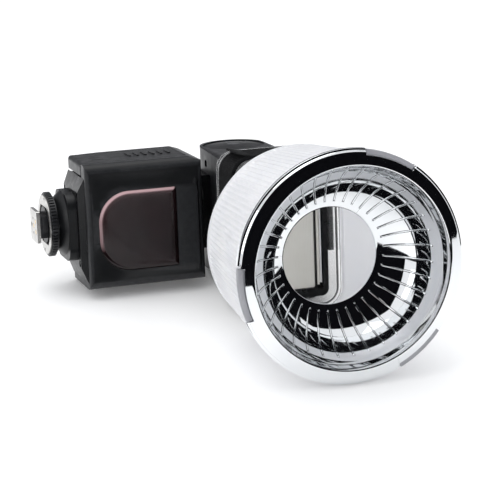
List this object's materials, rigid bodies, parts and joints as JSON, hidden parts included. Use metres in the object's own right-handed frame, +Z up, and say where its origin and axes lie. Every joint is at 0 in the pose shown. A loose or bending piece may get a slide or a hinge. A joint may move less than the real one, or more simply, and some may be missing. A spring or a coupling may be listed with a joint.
{
  "type": "hot-shoe electronic flash with diffuser cup and bowl reflector",
  "caption": "Hot-shoe electronic flash with a swivelling, tilting head, a strapped-on frosted diffuser cup and a pull-out chrome bowl reflector.",
  "frame": {"origin": "centre of the sole of the hot-shoe foot", "axes": "+X runs up the flash from the sole, the front of the body and the head look towards -Y (raised by the roll that the object lies at), +Z up; the flash lies on its side"},
  "size_m": [0.183, 0.2215, 0.1203],
  "materials": {
    "black_shell": "satin black moulding, finely textured",
    "black_trim": "smooth dark moulding",
    "soft_black": "matt rubber",
    "ring_black": "black anodised, knurled",
    "bright_steel": "bright brushed plate",
    "dark_steel": "blackened screws",
    "chrome_plastic": "metallised mirror coating over plastic",
    "tinted_window": "dark red tinted gloss window",
    "lamp_red": "red lamp and lenses",
    "key_grey": "dark grey keys",
    "panel_grey": "plain grey panel",
    "holder_black": "inner moulding",
    "contact_gold": "plated contacts",
    "cell_metal": "battery cell cases",
    "board_green": "circuit board",
    "cap_sleeve": "sleeved capacitor can",
    "lens_clear": "ribbed lens panel",
    "tube_glass": "flash tube",
    "reflector_metal": "polished trough",
    "card_white": "white card",
    "collar_clear": "clear semi-soft plastic",
    "cup_frosted": "frosted fluted plastic",
    "strap_fabric": "ribbed hook-and-loop webbing"
  },
  "bodies": {
    "flash_body": {"foot_plate": "bright_steel", "shoe_contacts": "contact_gold", "shoe_block": "black_shell", "foot_screws": "dark_steel", "front_shell": "black_shell", "rear_shell": "black_shell", "end_plate": "black_trim", "body_screws": "dark_steel", "sensor_window": "tinted_window", "sensor_hood": "black_trim", "assist_lamp": "lamp_red", "battery_holder": "holder_black", "battery_contacts": "contact_gold", "aa_cells": "cell_metal", "main_board": "board_green", "main_capacitor": "cap_sleeve", "step_up_transformer": "contact_gold", "control_board": "board_green", "scale_plate": "panel_grey", "ready_lamps": "lamp_red", "sync_socket": "black_trim", "swivel_race": "reflector_metal"},
    "lock_ring": {"lock_ring": "ring_black", "lock_ring_face": "bright_steel"},
    "lock_pin": {"lock_pin": "bright_steel"},
    "door_carriage": {"door_hinge_pin": "bright_steel"},
    "battery_door": {"battery_door": "black_shell", "door_contact_plate": "contact_gold"},
    "mode_button": {"mode_button": "key_grey"},
    "power_up_button": {"power_up_button": "key_grey"},
    "power_down_button": {"power_down_button": "key_grey"},
    "pilot_button": {"pilot_button": "lamp_red"},
    "power_switch": {"power_switch": "key_grey"},
    "port_cover": {"port_cover": "soft_black"},
    "swivel": {"turntable": "black_trim", "swivel_neck": "black_shell", "neck_rear_cover": "black_shell", "pivot_pin": "reflector_metal"},
    "head": {"head_upper_shell": "black_shell", "head_lower_shell": "black_shell", "pivot_caps": "black_shell", "ear_screws": "dark_steel", "head_front_frame": "black_trim", "fresnel_lens": "lens_clear", "tube_reflector": "reflector_metal", "flash_tube": "tube_glass", "head_board": "board_green"},
    "tilt_lock": {"tilt_lock_button": "key_grey"},
    "wide_panel": {"wide_panel": "lens_clear"},
    "bounce_card": {"bounce_card": "card_white"},
    "diffuser": {"adapter_collar": "collar_clear", "grip_pads": "soft_black", "strap": "strap_fabric", "strap_tail": "strap_fabric", "strap_loop": "black_trim", "diffuser_cup": "cup_frosted"},
    "reflector": {"reflector_bowl": "chrome_plastic"}
  },
  "joints": [
    {"name": "lock_ring_turn", "type": "hinge", "parent": "flash_body", "child": "lock_ring", "pos_m": [0.009, 0, 0], "axis": [-1, 0, 0], "range_deg": [0, 300]},
    {"name": "lock_pin_drop", "type": "slide", "parent": "flash_body", "child": "lock_pin", "axis": [-1, 0, 0], "range_m": [0, 0.0016]},
    {"name": "battery_door_slide", "type": "slide", "parent": "flash_body", "child": "door_carriage", "axis": [-1, 0, 0], "range_m": [0, 0.0015]},
    {"name": "battery_door_hinge", "type": "hinge", "parent": "door_carriage", "child": "battery_door", "pos_m": [0.0303, 0.00386, 0.03338], "axis": [0, -0.9934, 0.1149], "range_deg": [0, 100]},
    {"name": "mode_button_press", "type": "slide", "parent": "flash_body", "child": "mode_button", "axis": [0, -0.9934, 0.1149], "range_m": [0, 0.0008], "stiffness_N_per_m": 400},
    {"name": "power_up_button_press", "type": "slide", "parent": "flash_body", "child": "power_up_button", "axis": [0, -0.9934, 0.1149], "range_m": [0, 0.0008], "stiffness_N_per_m": 400},
    {"name": "power_down_button_press", "type": "slide", "parent": "flash_body", "child": "power_down_button", "axis": [0, -0.9934, 0.1149], "range_m": [0, 0.0008], "stiffness_N_per_m": 400},
    {"name": "pilot_button_press", "type": "slide", "parent": "flash_body", "child": "pilot_button", "axis": [0, -0.9934, 0.1149], "range_m": [0, 0.0008], "stiffness_N_per_m": 400},
    {"name": "power_switch_slide", "type": "slide", "parent": "flash_body", "child": "power_switch", "axis": [1, 0, 0], "range_m": [0, 0.003]},
    {"name": "port_cover_hinge", "type": "hinge", "parent": "flash_body", "child": "port_cover", "pos_m": [0.075, 0.00302, -0.03568], "axis": [1, 0, 0], "range_deg": [0, 100]},
    {"name": "head_swivel", "type": "hinge", "parent": "flash_body", "child": "swivel", "pos_m": [0.096, 0.00298, -0.00034], "axis": [1, 0, 0], "range_deg": [-90, 180]},
    {"name": "head_tilt", "type": "hinge", "parent": "swivel", "child": "head", "pos_m": [0.1227, 0.00298, -0.00034], "axis": [0, 0.1149, 0.9934], "range_deg": [0, 90]},
    {"name": "tilt_lock_press", "type": "slide", "parent": "head", "child": "tilt_lock", "axis": [0, -0.1149, -0.9934], "range_m": [0, 0.0015], "stiffness_N_per_m": 400},
    {"name": "wide_panel_slide", "type": "slide", "parent": "head", "child": "wide_panel", "axis": [0, -0.9934, 0.1149], "range_m": [0, 0.04]},
    {"name": "bounce_card_slide", "type": "slide", "parent": "head", "child": "bounce_card", "axis": [0, -0.9934, 0.1149], "range_m": [0, 0.04]},
    {"name": "diffuser_pull", "type": "slide", "parent": "head", "child": "diffuser", "axis": [0, -0.9934, 0.1149], "range_m": [0, 0.055]},
    {"name": "reflector_pull", "type": "slide", "parent": "diffuser", "child": "reflector", "axis": [0, -0.9934, 0.1149], "range_m": [0, 0.03]}
  ],
  "couplings": [
    {"joint": "lock_pin_drop", "follows": "lock_ring_turn", "m_per_rad": 0.0003}
  ]
}
